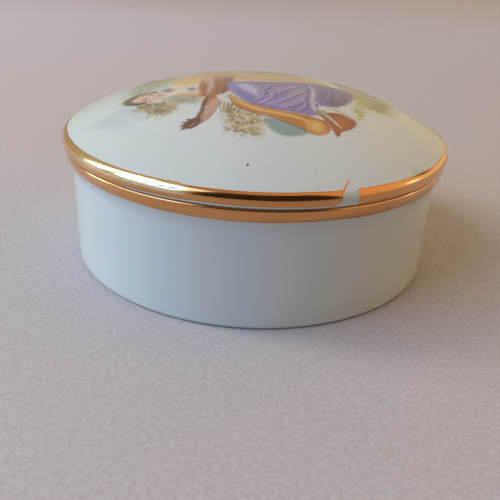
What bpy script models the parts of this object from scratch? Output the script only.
"""Round porcelain trinket box with a domed lift-off lid, gilded rims and a transfer print.

Metres, +Z up.  The origin is the centre of the foot, on the surface that the box stands on.
Every piece is turned about the Z axis from one outline of (radius, height) points.
The picture on the lid is seen the right way up with -X at its top.
"""

import math

import bmesh
import bpy

MM = 0.001

# Driving dimensions of the box body
BODY_HEIGHT = 23.8 * MM
WALL_RADIUS = 38.35 * MM
WALL_THICKNESS = 3.0 * MM
FLOOR_THICKNESS = 3.0 * MM
FLOOR_FILLET = 3.0 * MM
FOOT_EDGE_RADIUS = 0.9 * MM
FOOT_RING_WIDTH = 3.2 * MM
FOOT_RECESS = 1.0 * MM
MOUTH_EDGE_RADIUS = 0.6 * MM

# The rolled rim of the body, which carries its gold line
RIM_OVERHANG = 1.35 * MM
RIM_FOOT_OVERHANG = 0.75 * MM
RIM_TOP_RADIUS = 0.7 * MM
BODY_GILDING_HEIGHT = 2.4 * MM

# The lid
LID_OVERHANG = 0.3 * MM
LID_EDGE_HEIGHT = 2.5 * MM
LID_LOWER_EDGE_RADIUS = 0.5 * MM
SHOULDER_RADIUS = 1.5 * MM
DOME_RISE = 9.4 * MM
DOME_EXPONENT = 2.4
LID_THICKNESS = 2.6 * MM
FLANGE_THICKNESS = 2.0 * MM
FLANGE_DEPTH = 3.5 * MM
FLANGE_EDGE_RADIUS = 0.6 * MM
FLANGE_FILLET = 1.5 * MM

# Clearances between the pieces
SEAT_GAP = 0.3 * MM
FLANGE_CLEARANCE = 0.5 * MM
FILM_GAP = 0.3 * MM

# The fired-on decoration, as thin solids let into the glaze
FILM_THICKNESS = 0.3 * MM
PRINT_RADIUS = 30.0 * MM

# The bare spot where the gilder's brush stroke on the lid starts and ends
BRUSH_GAP_END_DEG = -63.9
BRUSH_GAP_TOP_WIDTH = 2.0 * MM
BRUSH_GAP_FOOT_WIDTH = 3.6 * MM
CUTTER_MARGIN = 1.0 * MM

# How finely the curves are drawn
SEGMENTS = 48
ARC_STEPS = 3
DOME_STEPS = 6
DOME_BORDER_STEPS = 3
WELD = 1e-7

# Sizes that follow
RIM_RADIUS = WALL_RADIUS + RIM_OVERHANG
RIM_FOOT_RADIUS = WALL_RADIUS + RIM_FOOT_OVERHANG
LID_RADIUS = RIM_RADIUS + LID_OVERHANG
FILM_DEPTH = FILM_THICKNESS + FILM_GAP
MOUTH_RADIUS = WALL_RADIUS - WALL_THICKNESS
FLOOR_TOP = FOOT_RECESS + FLOOR_THICKNESS
FLANGE_RADIUS = MOUTH_RADIUS - FLANGE_CLEARANCE
FLANGE_BORE = FLANGE_RADIUS - FLANGE_THICKNESS
LID_SEAT = BODY_HEIGHT + SEAT_GAP
SHOULDER_TOP = LID_SEAT + LID_EDGE_HEIGHT


def arc(centre, radius, start_deg, end_deg, steps=ARC_STEPS):
    """Points (r, z) along an arc about centre, both ends included."""
    points = []
    for step in range(steps + 1):
        angle = math.radians(start_deg + (end_deg - start_deg) * step / steps)
        points.append((centre[0] + radius * math.cos(angle), centre[1] + radius * math.sin(angle)))
    return points


def directions(curve):
    """The unit direction of travel at each point of a curve."""
    found = []
    for index in range(len(curve)):
        before = curve[max(index - 1, 0)]
        after = curve[min(index + 1, len(curve) - 1)]
        run = (after[0] - before[0], after[1] - before[1])
        length = math.hypot(*run)
        found.append((run[0] / length, run[1] / length))
    return found


def sunk(curve, depth):
    """A curve that climbs the outside of a piece, moved inwards by depth."""
    return [(r - along[1] * depth, z + along[0] * depth)
            for (r, z), along in zip(curve, directions(curve))]


def lengthened(curve, extra):
    """A curve with a straight bit of the given length added at each end."""
    along = directions(curve)
    first = (curve[0][0] - along[0][0] * extra, curve[0][1] - along[0][1] * extra)
    last = (curve[-1][0] + along[-1][0] * extra, curve[-1][1] + along[-1][1] * extra)
    return [first] + curve + [last]


def channel(curve):
    """The porcelain under a film: a shallow groove, a gap longer than the film at both ends."""
    surface = lengthened(curve, FILM_GAP)
    return [surface[0]] + sunk(surface, FILM_DEPTH) + [surface[-1]]


def body_rim_curve():
    """Outer face of the body's rolled rim, from the foot of the gold line up to the seat."""
    roll_centre_z = BODY_HEIGHT - RIM_TOP_RADIUS
    rise = roll_centre_z - (BODY_HEIGHT - BODY_GILDING_HEIGHT)
    bulge = RIM_RADIUS - RIM_FOOT_RADIUS
    roll_radius = (rise ** 2 + bulge ** 2) / (2 * bulge)
    roll_start = -math.degrees(math.asin(rise / roll_radius))
    roll = arc((RIM_RADIUS - roll_radius, roll_centre_z), roll_radius, roll_start, 0)
    top = arc((RIM_RADIUS - RIM_TOP_RADIUS, roll_centre_z), RIM_TOP_RADIUS, 0, 90)
    return roll + top[1:]


def flare_curve(rim):
    """The hollow curve that leads from the straight wall out to the foot of the rolled rim."""
    along = directions(rim)[0]
    tilt = math.degrees(math.atan2(along[0], along[1]))
    swing = RIM_FOOT_RADIUS - WALL_RADIUS
    radius = swing / (1 - math.cos(math.radians(tilt)))
    centre = (WALL_RADIUS + radius, rim[0][1] - radius * math.sin(math.radians(tilt)))
    return arc(centre, radius, 180, 180 - tilt)[:-1]


def lid_edge_curve():
    """Outer face of the lid's edge, from its seat up over the shoulder to the foot of the dome."""
    slope = math.degrees(math.atan2(DOME_RISE * DOME_EXPONENT, LID_RADIUS))
    turn = 90 - slope
    shoulder_foot = SHOULDER_TOP - SHOULDER_RADIUS * math.sin(math.radians(turn))
    lower = arc((LID_RADIUS - LID_LOWER_EDGE_RADIUS, LID_SEAT + LID_LOWER_EDGE_RADIUS),
                LID_LOWER_EDGE_RADIUS, -90, 0)
    shoulder = arc((LID_RADIUS - SHOULDER_RADIUS, shoulder_foot), SHOULDER_RADIUS, 0, turn)
    return lower + shoulder


def dome_height(radius):
    """Height of the dome's outer face at a radius."""
    foot = lid_edge_curve()[-1]
    return foot[1] + DOME_RISE * (1 - (radius / foot[0]) ** DOME_EXPONENT)


def dome_curve(outer, inner, drop=0.0, steps=DOME_STEPS):
    """Points of the dome from an outer to an inner radius, moved down by drop."""
    radii = [inner + (outer - inner) * (steps - step) / steps for step in range(steps + 1)]
    return [(radius, dome_height(radius) - drop) for radius in radii]


def body_outline():
    """Foot ring, wall, rim, mouth and floor of the box body."""
    foot_inner = WALL_RADIUS - FOOT_EDGE_RADIUS - FOOT_RING_WIDTH
    underside = [(0, FOOT_RECESS), (foot_inner - FOOT_RECESS, FOOT_RECESS), (foot_inner, 0)]
    foot = arc((WALL_RADIUS - FOOT_EDGE_RADIUS, FOOT_EDGE_RADIUS), FOOT_EDGE_RADIUS, -90, 0)
    rim = body_rim_curve()
    groove = channel(rim)
    groove[-1] = (groove[-2][0], BODY_HEIGHT)
    mouth = arc((MOUTH_RADIUS + MOUTH_EDGE_RADIUS, BODY_HEIGHT - MOUTH_EDGE_RADIUS),
                MOUTH_EDGE_RADIUS, 90, 180)
    floor_corner = arc((MOUTH_RADIUS - FLOOR_FILLET, FLOOR_TOP + FLOOR_FILLET), FLOOR_FILLET, 0, -90)
    return underside + foot + flare_curve(rim) + groove + mouth + floor_corner + [(0, FLOOR_TOP)]


def lid_outline():
    """Seat, edge, dome, hollow underside and locating flange of the lid."""
    groove = channel(lid_edge_curve())
    groove[0] = (groove[1][0], LID_SEAT)
    dome_edge = groove.pop()[0]
    ledge = PRINT_RADIUS + FILM_GAP
    dome = dome_curve(dome_edge, ledge, steps=DOME_BORDER_STEPS)
    print_bed = dome_curve(ledge, 0, drop=FILM_DEPTH)
    hollow_rim = FLANGE_BORE - FLANGE_FILLET
    hollow = dome_curve(hollow_rim, 0, drop=LID_THICKNESS)[::-1]
    fillet_centre = (hollow_rim, hollow[-1][1] - FLANGE_FILLET)
    fillet = arc(fillet_centre, FLANGE_FILLET, 90, 0)[1:]
    flange_foot = LID_SEAT - FLANGE_DEPTH
    inner_edge = arc((FLANGE_BORE + FLANGE_EDGE_RADIUS, flange_foot + FLANGE_EDGE_RADIUS),
                     FLANGE_EDGE_RADIUS, 180, 270)
    outer_edge = arc((FLANGE_RADIUS - FLANGE_EDGE_RADIUS, flange_foot + FLANGE_EDGE_RADIUS),
                     FLANGE_EDGE_RADIUS, 270, 360)
    flange = inner_edge + outer_edge + [(FLANGE_RADIUS, LID_SEAT)]
    return hollow + fillet + flange + groove + dome + print_bed


def film_outline(curve):
    """A film of even thickness whose outer face is the curve."""
    return curve + sunk(curve, FILM_THICKNESS)[::-1]


def print_outline():
    """The print's carrier, lying flush in its bed on the dome."""
    under = dome_curve(PRINT_RADIUS, 0, drop=FILM_THICKNESS)[::-1]
    return under + dome_curve(PRINT_RADIUS, 0)


def add_object(name, shape):
    """Turns a bmesh into a named object in the scene."""
    mesh = bpy.data.meshes.new(name)
    shape.to_mesh(mesh)
    shape.free()
    piece = bpy.data.objects.new(name, mesh)
    bpy.context.collection.objects.link(piece)
    return piece


def turned(name, outline, material):
    """Spins an outline of (r, z) points about the Z axis into one closed solid."""
    shape = bmesh.new()
    corners = [shape.verts.new((r, 0, z)) for r, z in outline]
    edges = [shape.edges.new(pair) for pair in zip(corners, corners[1:] + corners[:1])]
    if outline[0][0] == 0 and outline[-1][0] == 0:
        shape.edges.remove(edges.pop())
    bmesh.ops.spin(shape, geom=corners + edges, axis=(0, 0, 1), cent=(0, 0, 0),
                   angle=math.tau, steps=SEGMENTS, use_merge=True)
    bmesh.ops.remove_doubles(shape, verts=shape.verts, dist=WELD)
    bmesh.ops.recalc_face_normals(shape, faces=shape.faces)
    piece = add_object(name, shape)
    piece.data.shade_smooth()
    piece.data.set_sharp_from_angle(angle=math.radians(35))
    piece.data.materials.append(material)
    return piece


def brush_gap_cutter():
    """A wedge through the lid's gold line, square at the stroke's end and slanting at its start."""
    foot = LID_SEAT - CUTTER_MARGIN
    top = SHOULDER_TOP + CUTTER_MARGIN
    shape = bmesh.new()
    bmesh.ops.create_cube(shape, size=1.0)
    for vert in shape.verts:
        width = BRUSH_GAP_TOP_WIDTH if vert.co.z > 0 else BRUSH_GAP_FOOT_WIDTH
        reach = CUTTER_MARGIN if vert.co.x > 0 else -SHOULDER_RADIUS - CUTTER_MARGIN
        vert.co = (LID_RADIUS + reach, 0 if vert.co.y > 0 else -width, top if vert.co.z > 0 else foot)
    cutter = add_object("brush_gap_cutter", shape)
    cutter.rotation_euler.z = math.radians(BRUSH_GAP_END_DEG)
    cutter.hide_render = True
    cutter.display_type = "WIRE"
    return cutter


def cut_away(piece, cutter):
    """Takes the cutter's shape out of a piece."""
    cut = piece.modifiers.new("brush gap", "BOOLEAN")
    cut.object = cutter
    cut.operation = "DIFFERENCE"
    cut.solver = "EXACT"


def finish(name, colour, roughness, metallic):
    """A Principled material of one colour."""
    material = bpy.data.materials.new(name)
    material.use_nodes = True
    shader = material.node_tree.nodes["Principled BSDF"]
    shader.inputs["Base Color"].default_value = (*colour, 1.0)
    shader.inputs["Roughness"].default_value = roughness
    shader.inputs["Metallic"].default_value = metallic
    return material


def join_to(parent, *children):
    """Parents the children, so that what is fired onto a piece travels with it."""
    for child in children:
        child.parent = parent


def main():
    for old in list(bpy.data.objects):
        bpy.data.objects.remove(old)

    porcelain = finish("glazed_porcelain", (0.80, 0.81, 0.80), 0.12, 0.0)
    gold = finish("fired_gold", (0.83, 0.50, 0.20), 0.15, 1.0)
    enamel = finish("print_enamel", (0.44, 0.37, 0.50), 0.2, 0.0)

    body = turned("box_body", body_outline(), porcelain)
    body_gold = turned("body_rim_gilding", film_outline(body_rim_curve()), gold)
    join_to(body, body_gold)

    lid = turned("lid", lid_outline(), porcelain)
    lid_gold = turned("lid_rim_gilding", film_outline(lid_edge_curve()), gold)
    cut_away(lid_gold, brush_gap_cutter())
    picture = turned("lid_transfer_print", print_outline(), enamel)
    join_to(lid, lid_gold, picture)


main()
